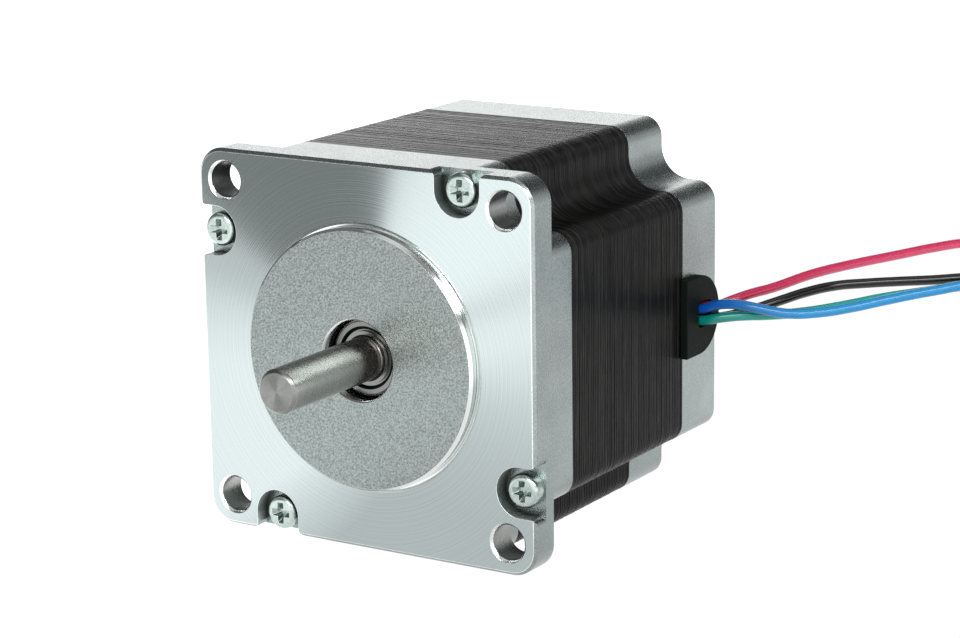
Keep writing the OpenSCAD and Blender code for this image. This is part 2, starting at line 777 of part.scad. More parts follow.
module rotor_magnet() {
    color([0.25, 0.25, 0.27]) slab(front_cover_len + cup_len, stack_end - cup_len)
        ring_outline(shaft_r + fit_gap, rotor_r - tooth_depth - magnet_inset);
}

module rotor_spacers() {
    color([0.7, 0.68, 0.55]) {
        slab(front_bearing_y + bearing_w, front_cover_len) spacer_outline();
        slab(stack_end, rear_bearing_y) spacer_outline();
    }
}

module spacer_outline() {
    difference() {
        circle(min(shaft_r + spacer_wall, inner_face_r), $fn = 48);
        circle(shaft_r + fit_gap, $fn = 48);
    }
}

// Sweeps a round section along a row of points; the first and last rings stand square to the ends
function unit(v) = v / norm(v);
function direction(points, i) = unit(
    (i == 0 ? points[1] - points[0] : unit(points[i] - points[i - 1]))
    + (i == len(points) - 1 ? unit(points[i] - points[i - 1])
        : i == 0 ? unit(points[1] - points[0]) : unit(points[i + 1] - points[i])));
function ring_points(at, along, r, sides) =
    let (side = unit(cross(along, [0, 0, 1])), over = cross(side, along))
    [for (k = [0 : sides - 1]) at + r * (cos(k * 360 / sides) * side + sin(k * 360 / sides) * over)];
module tube(points, r, sides) {
    last = len(points) - 1;
    polyhedron([for (i = [0 : last]) each ring_points(points[i], direction(points, i), r, sides)],
        concat(
            [for (i = [0 : last - 1], k = [0 : sides - 1])
                let (a = i * sides + k, b = i * sides + (k + 1) % sides)
                each [[a, b, b + sides], [a, b + sides, a + sides]]],
            [for (k = [1 : sides - 2]) [0, k + 1, k]],
            [for (k = [1 : sides - 2]) last * sides * [1, 1, 1] + [0, k, k + 1]]));
}

// A lead starts at the block, leaves the grommet, and joins its spiral level and straight
function lead_start(number, x) = [x, lead_mid_y + lead_places[number][0] * lead_pitch / 2,
    lead_places[number][1] * lead_pitch / 2];
function spiral_z(number) = layer_z + coil_layers[number] * layer_rise;
function entry_point(number) = [coil_x + coil_out_r * cos(entry_angles[number]),
    coil_y + coil_out_r * sin(entry_angles[number]), spiral_z(number)];
function entry_way(number) = [sin(entry_angles[number]), -cos(entry_angles[number]), 0];
function free_points(number) = concat(
    [lead_start(number, block_x), lead_start(number, half_w + grommet_t)], routes[number],
    [for (k = [2, 1]) entry_point(number) - k * lead_d * entry_way(number)]);
function path_length(points) = [for (i = [1 : len(points) - 1]) norm(points[i] - points[i - 1])]
    * [for (i = [1 : len(points) - 1]) 1];

// A flat spiral inwards that takes up what is left of the lead, then a hook and a straight end
function spiral_length(number) =
    lead_length - path_length(free_points(number)) - 2 * lead_d - hook_r * PI / 2 - tip_len;
function turns(number) =
    (coil_out_r - sqrt(coil_out_r * coil_out_r - coil_pitch * spiral_length(number) / PI)) / coil_pitch;
function coil_points(number) =
    let (
        n = turns(number), steps = round(n * coil_rings), start = entry_angles[number],
        z = spiral_z(number), last = start - full_turn * n, out = [cos(last), sin(last)],
        way = [sin(last), -cos(last)], in_r = coil_out_r - n * coil_pitch,
        hook = [coil_x, coil_y] + (in_r - hook_r) * out, end = hook + hook_r * way - lead_d * out)
    concat(
        [entry_point(number) - lead_d * entry_way(number), entry_point(number)],
        [for (i = [1 : steps])
            let (a = start - full_turn * n * i / steps, r = coil_out_r - coil_pitch * n * i / steps)
            [coil_x + r * cos(a), coil_y + r * sin(a), z]],
        [for (i = [1 : hook_rings])
            let (a = 90 * i / hook_rings, p = hook + hook_r * (cos(a) * out + sin(a) * way))
            [p[0], p[1], z]],
        [[end[0], end[1], z]]);
function last_two(points) = [points[len(points) - 2], points[len(points) - 1]];
function least_gap(points) =
    min([for (i = [0 : len(points) - 1], j = [i + coil_rings / 2 : 1 : len(points) - 1])
        norm(points[i] - points[j])]) - lead_d;

module lead(number) {
    tube(free_points(number), lead_d / 2, lead_sides);
}

module lead_coil(number) {
    points = coil_points(number);
    echo(least_gap_mm = least_gap(points), turns = turns(number));
    tube(points, lead_d / 2, coil_sides);
}

module red_lead() {
    color([0.78, 0.1, 0.25]) lead(RED);
}

module black_lead() {
    color([0.05, 0.05, 0.05]) lead(BLACK);
}

module blue_lead() {
    color([0.08, 0.45, 0.85]) lead(BLUE);
}

module green_lead() {
    color([0, 0.5, 0.42]) lead(GREEN);
}

module red_lead_coil() {
    color([0.78, 0.1, 0.25]) lead_coil(RED);
}

module black_lead_coil() {
    color([0.05, 0.05, 0.05]) lead_coil(BLACK);
}

module blue_lead_coil() {
    color([0.08, 0.45, 0.85]) lead_coil(BLUE);
}

module green_lead_coil() {
    color([0, 0.5, 0.42]) lead_coil(GREEN);
}

// The stripped strands at each lead's end, tinned
module tinned_ends() {
    color([0.8, 0.8, 0.8]) for (number = [RED, BLACK, BLUE, GREEN]) {
        ends = last_two(coil_points(number));
        way = unit(ends[1] - ends[0]);
        translate(ends[1]) rotate([0, 90, atan2(way[1], way[0])])
            cylinder(h = tip_len, r = tip_d / 2, $fn = 32);
    }
}

// A band drawn round one side of the coil, just clear of its outer and inner turns
function first_turn(number) = ((entry_angles[number] - tie_angle + 720) % 360) / 360;
function outer_at_tie(number) = coil_out_r - coil_pitch * first_turn(number);
function inner_at_tie(number) =
    outer_at_tie(number) - coil_pitch * floor(turns(number) - first_turn(number));
module coil_tie() {
    leads = [RED, BLACK, BLUE, GREEN];
    around = lead_d / 2 + tie_gap + tie_t;
    from = min([for (number = leads) inner_at_tie(number)]) - around;
    to = max([for (number = leads) outer_at_tie(number)]) + around;
    low = layer_z - around;
    high = layer_z + 3 * layer_rise + around;
    color([0.05, 0.05, 0.05]) translate([coil_x, coil_y, 0]) rotate([0, 0, tie_angle])
        translate([(from + to) / 2, tie_w / 2, (low + high) / 2]) rotate([90, 0, 0])
            linear_extrude(tie_w) difference() {
                rounded_box_outline(to - from, high - low, tie_corner_r);
                rounded_box_outline(to - from - 2 * tie_t, high - low - 2 * tie_t, tie_corner_r - tie_t);
            }
}

front_cover();
stator_core();
rear_cover();
body_screws();
front_insulator();
rear_insulator();
phase_a_windings();
phase_b_windings();
terminal_board();
lead_grommet();
wave_washer();
front_bearing_outer_ring();
front_bearing_shields();
rear_bearing_outer_ring();
rear_bearing_shields();
output_shaft();
front_rotor_cup();
rotor_magnet();
rear_rotor_cup();
rotor_spacers();
front_bearing_inner_ring();
rear_bearing_inner_ring();
front_bearing_cage();
front_bearing_balls();
rear_bearing_cage();
rear_bearing_balls();
red_lead();
black_lead();
blue_lead();
green_lead();
red_lead_coil();
black_lead_coil();
blue_lead_coil();
green_lead_coil();
tinned_ends();
coil_tie();
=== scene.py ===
import math
import random

import bmesh
import bpy
from mathutils import Matrix, Vector


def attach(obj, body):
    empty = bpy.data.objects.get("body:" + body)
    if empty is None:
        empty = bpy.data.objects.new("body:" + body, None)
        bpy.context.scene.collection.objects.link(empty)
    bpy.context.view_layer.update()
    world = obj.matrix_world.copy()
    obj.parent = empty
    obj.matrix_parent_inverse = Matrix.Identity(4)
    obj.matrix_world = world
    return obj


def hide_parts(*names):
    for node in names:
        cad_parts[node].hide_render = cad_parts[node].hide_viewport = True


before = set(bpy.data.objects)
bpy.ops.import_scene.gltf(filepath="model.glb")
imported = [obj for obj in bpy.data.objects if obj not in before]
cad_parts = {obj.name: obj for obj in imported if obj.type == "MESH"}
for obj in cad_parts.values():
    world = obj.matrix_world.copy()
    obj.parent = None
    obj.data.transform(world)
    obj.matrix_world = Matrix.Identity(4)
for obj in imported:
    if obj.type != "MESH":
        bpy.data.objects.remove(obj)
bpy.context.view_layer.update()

# The view on the motor: a long lens, a little above the shaft and to its right, which shows the
# flange, the shaft and the side with the leads together.
MM = 0.001
VIEW_TURN, VIEW_RISE, VIEW_ROLL = (math.radians(a) for a in (32.287, 13.606, -0.826))
CAMERA_RIGHT, CAMERA_UP, CAMERA_BACK = 16.436, 5.623, 401.835
FILM_WIDTH, LENS_LENGTH, NEAREST = 36, 106.563, 0.01
view_back = Vector((math.sin(VIEW_TURN) * math.cos(VIEW_RISE),
                    -math.cos(VIEW_TURN) * math.cos(VIEW_RISE), math.sin(VIEW_RISE)))
level_right = Vector((math.cos(VIEW_TURN), math.sin(VIEW_TURN), 0))
level_up = view_back.cross(level_right)
view_right = level_right * math.cos(VIEW_ROLL) + level_up * math.sin(VIEW_ROLL)
view_up = level_up * math.cos(VIEW_ROLL) - level_right * math.sin(VIEW_ROLL)
camera = bpy.data.objects.new("camera", bpy.data.cameras.new("camera"))
camera.data.sensor_width = FILM_WIDTH
camera.data.lens = LENS_LENGTH
camera.data.clip_start = NEAREST
camera.matrix_world = Matrix.Translation(
    (view_right * CAMERA_RIGHT + view_up * CAMERA_UP + view_back * CAMERA_BACK) * MM
) @ Matrix((view_right, view_up, view_back)).transposed().to_4x4()
bpy.context.scene.collection.objects.link(camera)
bpy.context.scene.camera = camera


# Four leads of stranded copper in a glossy PVC jacket, 1.5 mm thick and 300 mm long. Inside they
# are soldered to the terminal board; outside they run free, and the rest of their length is wound
# into one flat spiral each, laid on each other and tied.
LEAD_D, LEAD_LENGTH = 1.5, 300
BARE_R, BARE_LENGTH = 0.4, 5
STRANDS, STRAND_SIDES, STRAND_STEPS, LAY_TURNS = 7, 8, 14, 0.55
BOARD_X, LEAVING_X = 24.7, 29.4
LEAD_MID_Y, LEAD_PITCH = 47.5, 1.8
COIL_MIDDLE, COIL_OUT_R, COIL_PITCH, POINTS_A_TURN = (92, 60), 13.5, 2.05, 24
LAYER_Z, LAYER_RISE = -26.65, 1.8
HOOK_R, HOOK_POINTS = 3.2, 6
ROUND_STEPS = CURVE_STEPS = 5
LEADS = {
    "red": dict(place=(1, 1), joins_at=12, layer=3, route=[
        (31.2, 48.7, 1.3), (32.9, 50.1, 2), (34.3, 52.4, 2.5), (36.2, 56, 2.9), (39.5, 63.4, 4),
        (43, 70.8, 4.5), (46.8, 78.5, 4.8), (50, 84.5, 5.1), (53.8, 90.5, 5.2), (59, 95.5, 4.6),
        (65.5, 98.3, 3), (72.5, 98.5, 0.2), (79, 96.5, -3.6), (85, 93, -8), (90.5, 88.5, -12.8),
        (95.7, 83.2, -17.2), (100.4, 77, -20.1), (103.8, 70, -21.2)]),
    "black": dict(place=(1, -1), joins_at=45, layer=2, route=[
        (32.2, 48.9, -0.4), (35, 50.4, 0.4), (38.5, 54, 1.6), (41, 58, 2.4), (44, 62.1, 2.9),
        (48, 64.8, 3.2), (52.5, 66.6, 3.6), (57, 68.1, 4), (61.5, 69.8, 4.5), (66, 72.4, 4.7),
        (70.5, 75, 3.8), (75, 77, 1.2), (79.5, 78.4, -3.2), (84, 79, -8.5), (88.3, 78.5, -14.3),
        (92.4, 76.9, -19.5), (96.2, 74.9, -22.4)]),
    "blue": dict(place=(-1, 1), joins_at=80, layer=0, route=[
        (32, 46.7, 1.8), (35.2, 47, 2.1), (38.8, 47.6, 1.7), (42.3, 49.1, 1.1), (46.2, 51.5, 1.2),
        (50, 54.2, 1.8), (54.5, 57, 2.9), (60.5, 60.2, 4.3), (67, 63.4, 5.4), (72.5, 66, 4.2),
        (76.5, 67.8, 1), (79.5, 69.2, -4.5), (81.7, 70.4, -10.5), (83.5, 71.5, -16.2),
        (85.2, 72.4, -20.7), (86.8, 73.1, -23.6), (88.8, 73.8, -25.6)]),
    "green": dict(place=(-1, -1), joins_at=62, layer=1, route=[
        (32, 46.9, -0.3), (34.8, 48.1, 0.1), (39, 50.2, 0.3), (43.3, 53.4, 0.6), (48, 56.8, 1.4),
        (53, 60, 2.5), (57.5, 63.8, 3.1), (62, 67.6, 3.7), (66.5, 70.3, 4.1), (71, 72.2, 3.2),
        (75.5, 73.6, 0.6), (79, 74.6, -4.2), (82, 75.2, -10), (85, 75.6, -16), (88.2, 75.6, -21),
        (91.8, 74.8, -24.1)]),
}
JACKETS = {  # the colour in the motor's shade, in the light, the fade between, the roughness
    "red": ((0.32, 0.008, 0.04), (0.49, 0.035, 0.1), 14, 0.16),
    "black": ((0.001, 0.001, 0.001), (0.002, 0.002, 0.002), 10, 0.11),
    "blue": ((0.002, 0.04, 0.26), (0.003, 0.19, 0.42), 16, 0.16),
    "green": ((0.0, 0.13, 0.105), (0.0, 0.28, 0.23), 12, 0.16),
}
DUST_TONE, DUST_SHARE, DRAWN_OUT = 0.55, 0.25, 0.25
RIB_DEPTH, SOLDER_DEPTH = 0.06 * MM, 0.04 * MM


def spoke(angle):
    """The way out from the coil's middle at an angle, and the way that the turns run there."""
    return (Vector((math.cos(angle), math.sin(angle), 0)),
            Vector((math.sin(angle), -math.cos(angle), 0)))


def lead_path(place, joins_at, layer, route):
    """The lead's middle line in millimetres, from the board to where its bare end starts, and the
    way it points there."""
    start = [Vector((x, LEAD_MID_Y + place[0] * LEAD_PITCH / 2, place[1] * LEAD_PITCH / 2))
             for x in (BOARD_X, LEAVING_X)]
    middle = Vector((*COIL_MIDDLE, LAYER_Z + layer * LAYER_RISE))
    joint = math.radians(joins_at)
    out, way = spoke(joint)
    entry = middle + COIL_OUT_R * out
    free = start + [Vector(p) for p in route] + [entry - 2 * LEAD_D * way, entry - LEAD_D * way]
    gone = sum((b - a).length for a, b in zip(free, free[1:]))
    left = LEAD_LENGTH - gone - 2 * LEAD_D - HOOK_R * math.pi / 2 - BARE_LENGTH
    turns = (COIL_OUT_R - math.sqrt(COIL_OUT_R ** 2 - COIL_PITCH * left / math.pi)) / COIL_PITCH
    steps = round(turns * POINTS_A_TURN)
    points = free + [entry]
    for i in range(1, steps + 1):
        out, way = spoke(joint - math.tau * turns * i / steps)
        radius = COIL_OUT_R - COIL_PITCH * turns * i / steps
        points.append(middle + radius * out)
    hook = middle + (radius - HOOK_R) * out
    for i in range(1, HOOK_POINTS + 1):
        b = math.pi / 2 * i / HOOK_POINTS
        points.append(hook + HOOK_R * (math.cos(b) * out + math.sin(b) * way))
    points.append(points[-1] - LEAD_D * out)
    return points, -out


class Value:
    """A shader socket that can be used in sums: each operator or method adds its Math node."""

    def __init__(self, nodes, socket):
        self.nodes, self.socket = nodes, socket

    def _math(self, operation, *terms):
        return self.nodes.node("ShaderNodeMath", {"operation": operation}, *terms)

    def __add__(self, other): return self._math("ADD", self, other)
    def __radd__(self, other): return self._math("ADD", other, self)
    def __sub__(self, other): return self._math("SUBTRACT", self, other)
    def __rsub__(self, other): return self._math("SUBTRACT", other, self)
    def __mul__(self, other): return self._math("MULTIPLY", self, other)
    def __rmul__(self, other): return self._math("MULTIPLY", other, self)
    def __truediv__(self, other): return self._math("DIVIDE", self, other)
    def __rtruediv__(self, other): return self._math("DIVIDE", other, self)
    def most(self, other): return self._math("MAXIMUM", self, other)
    def sine(self): return self._math("SINE", self)
    def floor(self): return self._math("FLOOR", self)
    def there_and_back(self, way): return self._math("PINGPONG", self, way)


class Nodes:
    """The node tree of a material or of the world."""

    def __init__(self, owner):
        owner.use_nodes = True
        self.tree = owner.node_tree

    def node(self, kind, settings, *values, first=0, out=0, **named):
        """Adds a node: its settings, then the values or links of its sockets, from the first on."""
        node = self.tree.nodes.new(kind)
        for name, value in settings.items():
            setattr(node, name, value)
        for key, value in [*enumerate(values, first), *named.items()]:
            socket = node.inputs[key if isinstance(key, int) else key.replace("_", " ")]
            if isinstance(value, Value):
                self.tree.links.new(value.socket, socket)
            elif isinstance(value, tuple) and len(socket.default_value) == 4 and len(value) == 3:
                socket.default_value = (*value, 1)
            else:
                socket.default_value = value
        return Value(self, node.outputs[out])

    def parts(self, point):
        """The three coordinates of a point."""
        split = self.node("ShaderNodeSeparateXYZ", {}, point)
        return [Value(self, s) for s in split.socket.node.outputs]

    def point(self, x, y, z):
        """A point from its three coordinates."""
        return self.node("ShaderNodeCombineXYZ", {}, x, y, z)

    def from_shaft(self, point):
        """How far a point is from the shaft's axis."""
        x, y, z = self.parts(point)
        return self.node("ShaderNodeVectorMath", {"operation": "LENGTH"},
                         self.point(x, 0.0, z), out=1)

    def noise(self, point, to_a_metre, detail=3.0, roughness=0.5):
        """Soft patches round 0.5, so many of them to a metre."""
        return self.node("ShaderNodeTexNoise", {}, Vector=point, Scale=to_a_metre, Detail=detail,
                         Roughness=roughness)

    def spread(self, value, low, high, new_low=0.0, new_high=1.0):
        """Stretches the stretch from low to high over the new one, and holds it there."""
        return self.node("ShaderNodeMapRange", {"clamp": True}, value, low, high, new_low, new_high)

    def swing(self, noise, low=0.0, high=1.0, reach=0.2):
        """Stretches what is within reach of a noise's middle from low to high."""
        return self.spread(noise, 0.5 - reach, 0.5 + reach, low, high)

    def mix(self, share, one, other):
        """Between two colours."""
        return self.node("ShaderNodeMix", {"data_type": "RGBA"}, one, other, first=6, out=2,
                         Factor=share)


class Finish(Nodes):
    """One material: a Principled shader whose varied sockets are fed by nodes."""

    def __init__(self, name, **constants):
        self.material = bpy.data.materials.new(name)
        super().__init__(self.material)
        self.shader = self.tree.nodes["Principled BSDF"]
        for socket, value in constants.items():
            if isinstance(value, tuple):
                value = (*value, 1)
            self.shader.inputs[socket.replace("_", " ")].default_value = value

    def place(self):
        """The point on the piece, in metres, in the frame that the piece was made in."""
        return self.node("ShaderNodeTexCoord", {}, out="Object")

    def bump(self, height, strength, depth):
        """The tilt of a fine relief, whose height is told in depths."""
        return self.node("ShaderNodeBump", {}, Strength=strength, Distance=depth, Height=height)

    def feed(self, **sockets):
        """Links values to the shader's sockets."""
        for name, value in sockets.items():
            self.tree.links.new(value.socket, self.shader.inputs[name.replace("_", " ")])
        return self


def jacket(name, shaded, lit, fade, rough):
    """Extruded PVC: fine ribs drawn out along it, a little dust, and painted shade near the
    grommet:
    a deeper colour where the lead is in the motor's shade."""
    finish = Finish(name)
    place = finish.place()
    x, y, z = finish.parts(place)
    mottle = finish.noise(place, 900, 4)
    ribs = finish.noise(finish.point(x * DRAWN_OUT, y * DRAWN_OUT, z), 2600, 2)
    # painted shade: the jacket fades from its shaded colour at the grommet to its lit colour
    # further out
    clean = finish.mix(finish.spread(x, LEAVING_X * MM, (LEAVING_X + fade) * MM), shaded, lit)
    dusty = tuple(DUST_TONE * c for c in lit)
    return finish.feed(
        Base_Color=finish.mix(finish.spread(mottle, 0.35, 0.75, 0, DUST_SHARE), clean, dusty),
        Roughness=finish.swing(mottle, rough, rough + 0.1),
        Normal=finish.bump(ribs, 0.12, RIB_DEPTH))


tinned = Finish("tinned_copper", Metallic=1.0)
solder = tinned.noise(tinned.place(), 4000, 2)
tinned.feed(Base_Color=tinned.mix(solder, (0.52, 0.52, 0.5), (0.72, 0.72, 0.7)),
            Roughness=tinned.swing(solder, 0.26, 0.38),
            Normal=tinned.bump(solder, 0.3, SOLDER_DEPTH))


def insulated_lead(name, points, finish):
    """A round lead along points in millimetres, as one open spline."""
    curve = bpy.data.curves.new(name, "CURVE")
    curve.dimensions = "3D"
    curve.bevel_depth = LEAD_D / 2 * MM
    curve.bevel_resolution = ROUND_STEPS
    curve.resolution_u = CURVE_STEPS
    curve.use_fill_caps = True
    spline = curve.splines.new("BEZIER")
    spline.bezier_points.add(len(points) - 1)
    for knot, point in zip(spline.bezier_points, points):
        knot.co = point * MM
        knot.handle_left_type = knot.handle_right_type = "AUTO"
    curve.materials.append(finish.material)
    piece = bpy.data.objects.new(name, curve)
    bpy.context.scene.collection.objects.link(piece)
    return piece


def finish_mesh(name, mesh, finishes, sharp=35):
    """Puts a mesh in the scene, smooth but for its sharp edges."""
    for finish in finishes:
        mesh.materials.append(finish.material)
    mesh.shade_smooth()
    mesh.set_sharp_from_angle(angle=math.radians(sharp))
    piece = bpy.data.objects.new(name, mesh)
    bpy.context.scene.collection.objects.link(piece)
    return piece


def mesh_piece(name, vertices, faces, finish):
    """A mesh piece from points in millimetres."""
    mesh = bpy.data.meshes.new(name)
    mesh.from_pydata([Vector(v) * MM for v in vertices], [], faces)
    mesh.update()
    return finish_mesh(name, mesh, [finish])


def bare_end(name, start, way):
    """The stripped end of a lead: seven tinned strands, six laid round the one in the middle."""
    side = way.cross(Vector((0, 0, 1))).normalized()
    over = side.cross(way)
    vertices, faces = [], []
    for strand in range(STRANDS):
        base = len(vertices)
        off = BARE_R * 2 / 3 if strand else 0
        for step in range(STRAND_STEPS + 1):
            t = step / STRAND_STEPS
            lay = math.tau * (strand / (STRANDS - 1) + LAY_TURNS * t)
            middle = start + way * (BARE_LENGTH * t) + off * (
                math.cos(lay) * side + math.sin(lay) * over)
            for k in range(STRAND_SIDES):
                a = math.tau * k / STRAND_SIDES
                vertices.append(middle + BARE_R / 3 * (math.cos(a) * side + math.sin(a) * over))
        for step in range(STRAND_STEPS):
            for k in range(STRAND_SIDES):
                a = base + step * STRAND_SIDES + k
                b = base + step * STRAND_SIDES + (k + 1) % STRAND_SIDES
                faces.append((a, b, b + STRAND_SIDES, a + STRAND_SIDES))
        faces.append(tuple(base + k for k in reversed(range(STRAND_SIDES))))
        faces.append(tuple(base + STRAND_STEPS * STRAND_SIDES + k for k in range(STRAND_SIDES)))
    return mesh_piece(name, vertices, faces, tinned)


for colour, facts in LEADS.items():
    points, way = lead_path(**facts)
    pvc = jacket(colour + "_jacket", *JACKETS[colour])
    lead = insulated_lead(colour + "_lead_run", points, pvc)
    bare = bare_end(colour + "_bare_end", points[-1], way)
    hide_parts(colour + "_lead", colour + "_lead_coil")
    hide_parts("tinned_ends")
    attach(lead, "housing")
    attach(bare, "housing")


# The tie: a narrow band of black nylon, moulded in one piece. It is closed round the four spirals
# of the leads and holds them together.
def dress(node, finish):
    """A better material on a CAD piece that keeps its own mesh."""
    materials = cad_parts[node].data.materials
    materials.clear()
    materials.append(finish.material)


def moulded_plastic(name, low, high, rough, grain, depth):
    """A moulded part: a fine grain from the mould, and a sheen that changes a little over it."""
    finish = Finish(name)
    place = finish.place()
    grains = finish.noise(place, grain, 3)
    return finish.feed(Base_Color=finish.mix(finish.noise(place, 420, 3), low, high),
                       Roughness=finish.swing(grains, rough - 0.05, rough + 0.07),
                       Normal=finish.bump(grains, 0.3, depth))


dress("coil_tie", moulded_plastic("tie_nylon", (0.009, 0.009, 0.01), (0.016, 0.016, 0.017),
                                  0.42, 3500, 0.04 * MM))


# The front cover: die-cast aluminium, fine blasted all over, then faced on a lathe on its front
# so that only the pilot keeps the grey cast skin. It carries the pilot, the front bearing, the four
# mounting holes and the pockets for the screws that hold the motor together.
PILOT_R, PILOT_FACE, SHAFT_OPENING_R, TURNED_TO = 19.05, -1.6, 6.3, 0.6
PILOT_WALL_FROM_R, PILOT_WALL_TO_R, FACED_FROM_R = PILOT_R - 0.5, PILOT_R + 1.5, PILOT_R + 2
BOLT_PLACE, BOLT_HOLE_R = 23.57, 2.6
BOLT_RIM_R = BOLT_HOLE_R + 0.5
SCREW_PLACES = (16.0, 25.5), (-25.5, 16.0), (-16.0, -25.5), (25.5, -16.0)
POCKET_R, POCKET_DEPTH, POCKET_SHADE_DEPTH = 3.65, 2.8, 2.1 * MM
WELD, FLAT_ENOUGH, SHARP_EDGE = 0.002 * MM, math.radians(1), math.radians(30)
EASING, BROKEN_EDGE = 0.12, 0.28
SAME_PLANE, FACING_FRONT, LEANING_FRONT, BEVEL_SLOPE = 0.01, -0.99, -0.2, -0.707
GRIT, GRIT_DEPTH = 4200, 0.12 * MM
MARK_PITCH, MARK_LEAN, MARK_DEPTH = 0.32 * MM, math.radians(14), 0.12 * MM
GROOVE_DEPTH = 0.08 * MM
CAST, FACED, TURNED, DRILLED, BOSS, POCKET, EDGE = range(7)


def eased_copy(node, name, finishes, width, segments=2, finish_at=None, wider=None, moved=None):
    """A copy of a CAD piece with its sharp edges eased by a small round. finish_at tells the
    number of a face's finish from its middle and its normal, in millimetres. wider is a test for
    the edges that are broken first, and by how much, and moved gives a corner its new place."""
    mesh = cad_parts[node].data.copy()
    mesh.name = name
    mesh.materials.clear()
    work = bmesh.new()
    work.from_mesh(mesh)
    bmesh.ops.remove_doubles(work, verts=work.verts, dist=WELD)
    bmesh.ops.dissolve_limit(work, angle_limit=FLAT_ENOUGH, verts=work.verts, edges=work.edges)
    for corner in work.verts if moved else ():
        corner.co = moved(corner.co / MM) * MM
    for test, size in [wider] * bool(wider) + [(lambda edge: True, width)]:
        edges = [e for e in work.edges if len(e.link_faces) == 2
                 and e.calc_face_angle(0) > SHARP_EDGE and test(e)]
        bmesh.ops.bevel(work, geom=edges, offset=size * MM, offset_type="OFFSET",
                        segments=segments, profile=0.5, affect="EDGES", clamp_overlap=True)
    if finish_at:
        for face in work.faces:
            face.material_index = finish_at(face.calc_center_median() / MM, face.normal)
    work.to_mesh(mesh)
    work.free()
    piece = finish_mesh(name, mesh, finishes, sharp=50)
    even = piece.modifiers.new("even_normals", "WEIGHTED_NORMAL")
    even.keep_sharp = True
    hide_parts(node)
    return piece


def blasted_aluminium(name, dull=(0.236, 0.268, 0.262), bright=(0.312, 0.355, 0.347), speckle=0.6,
                      relief=0.34, grain=GRIT, reach=0.12, rough=0.25):
    """The cast skin of both covers, fine blasted: the grit shows where the light changes."""
    finish = Finish(name, Metallic=1.0)
    place = finish.place()
    grit = finish.noise(place, grain, 2, 0.6)
    cloud = finish.noise(place, 150, 3)
    tone = finish.swing(grit * speckle + cloud * (1 - speckle), reach=reach)
    return finish.feed(Base_Color=finish.mix(tone, dull, bright),
                       Roughness=finish.swing(grit, rough - 0.05, rough + 0.05),
                       Normal=finish.bump(grit * relief, 1.0, GRIT_DEPTH))


# The lathe tool leaves each mark leaning outwards, so that light falls on the face in fans.
faced = Finish("faced_aluminium", Metallic=1.0)
radius = faced.from_shaft(faced.place())
marks = faced.noise(faced.point(radius, 0.0, 0.0), 4500, 2)
leaning = radius * (-math.tan(MARK_LEAN) / MARK_DEPTH)
waves = (radius * (math.tau / MARK_PITCH)).sine() * 0.009 + marks * 0.014
faced.feed(Base_Color=faced.mix(faced.swing(marks), (0.385, 0.438, 0.438), (0.46, 0.517, 0.517)),
           Roughness=faced.swing(marks, 0.13, 0.19),
           Normal=faced.bump(waves + leaning, 1.0, MARK_DEPTH))

turned = Finish("turned_aluminium", Metallic=1.0)
x, y, z = turned.parts(turned.place())
marks = turned.noise(turned.point(0.0, y, 0.0), 4200, 2)
turned.feed(Base_Color=turned.mix(turned.swing(marks, reach=0.15), (0.62, 0.65, 0.64),
                                  (0.84, 0.87, 0.86)),
            Roughness=turned.swing(marks, 0.08, 0.16),
            Normal=turned.bump(marks * 0.12, 1.0, GROOVE_DEPTH))

drilled = Finish("drilled_aluminium", Metallic=1.0)
x, y, z = drilled.parts(drilled.place())
marks = drilled.noise(drilled.point(x * 0.3, y, z * 0.3), 3500, 3)
drilled.feed(Base_Color=drilled.mix(marks, (0.22, 0.23, 0.22), (0.4, 0.41, 0.4)),
             Roughness=drilled.swing(marks, 0.26, 0.4),
             Normal=drilled.bump(marks, 0.6, GROOVE_DEPTH))

# The screw pockets are milled: bright at their rim, with painted shade that darkens their walls
# deep down.
milled = Finish("pocket_aluminium", Metallic=1.0)
place = milled.place()
x, y, z = milled.parts(place)
grit = milled.noise(place, GRIT, 2, 0.6)
rim = milled.mix(milled.swing(grit, reach=0.15), (0.5, 0.545, 0.53), (0.68, 0.74, 0.72))
# painted shade: the wall darkens from the rim's tone to near black towards the pocket's depth
milled.feed(Base_Color=milled.mix(milled.spread(y, 0.0, POCKET_SHADE_DEPTH), rim,
                                  (0.05, 0.056, 0.054)),
            Roughness=milled.swing(grit, 0.34, 0.46),
            Normal=milled.bump(grit * 0.2, 1.0, GRIT_DEPTH))

boss = blasted_aluminium("boss_aluminium", (0.132, 0.151, 0.147), (0.293, 0.333, 0.325),
                         speckle=1.0, relief=0.36, grain=3600, reach=0.18)
broken = blasted_aluminium("edge_aluminium", (0.6, 0.63, 0.62), (0.8, 0.83, 0.82),
                           speckle=0.7, relief=0.14, rough=0.22)


def from_screw(point):
    """Where a point is, seen from the axis of the nearest body screw."""
    return min((Vector((point.x - x, 0, point.z - z)) for x, z in SCREW_PLACES),
               key=lambda way: way.length)


def bolt_axis_near(point):
    """How far a point is from the axis of the nearest mounting hole."""
    return math.hypot(abs(point.x) - BOLT_PLACE, abs(point.z) - BOLT_PLACE)


def on_the_face(edge):
    """The edges that the facing tool left sharp, and that were broken by hand afterwards."""
    return all(abs(end.y) < SAME_PLANE and math.hypot(end.x, end.z) > FACED_FROM_R
               and bolt_axis_near(end) > BOLT_RIM_R for end in (v.co / MM for v in edge.verts))


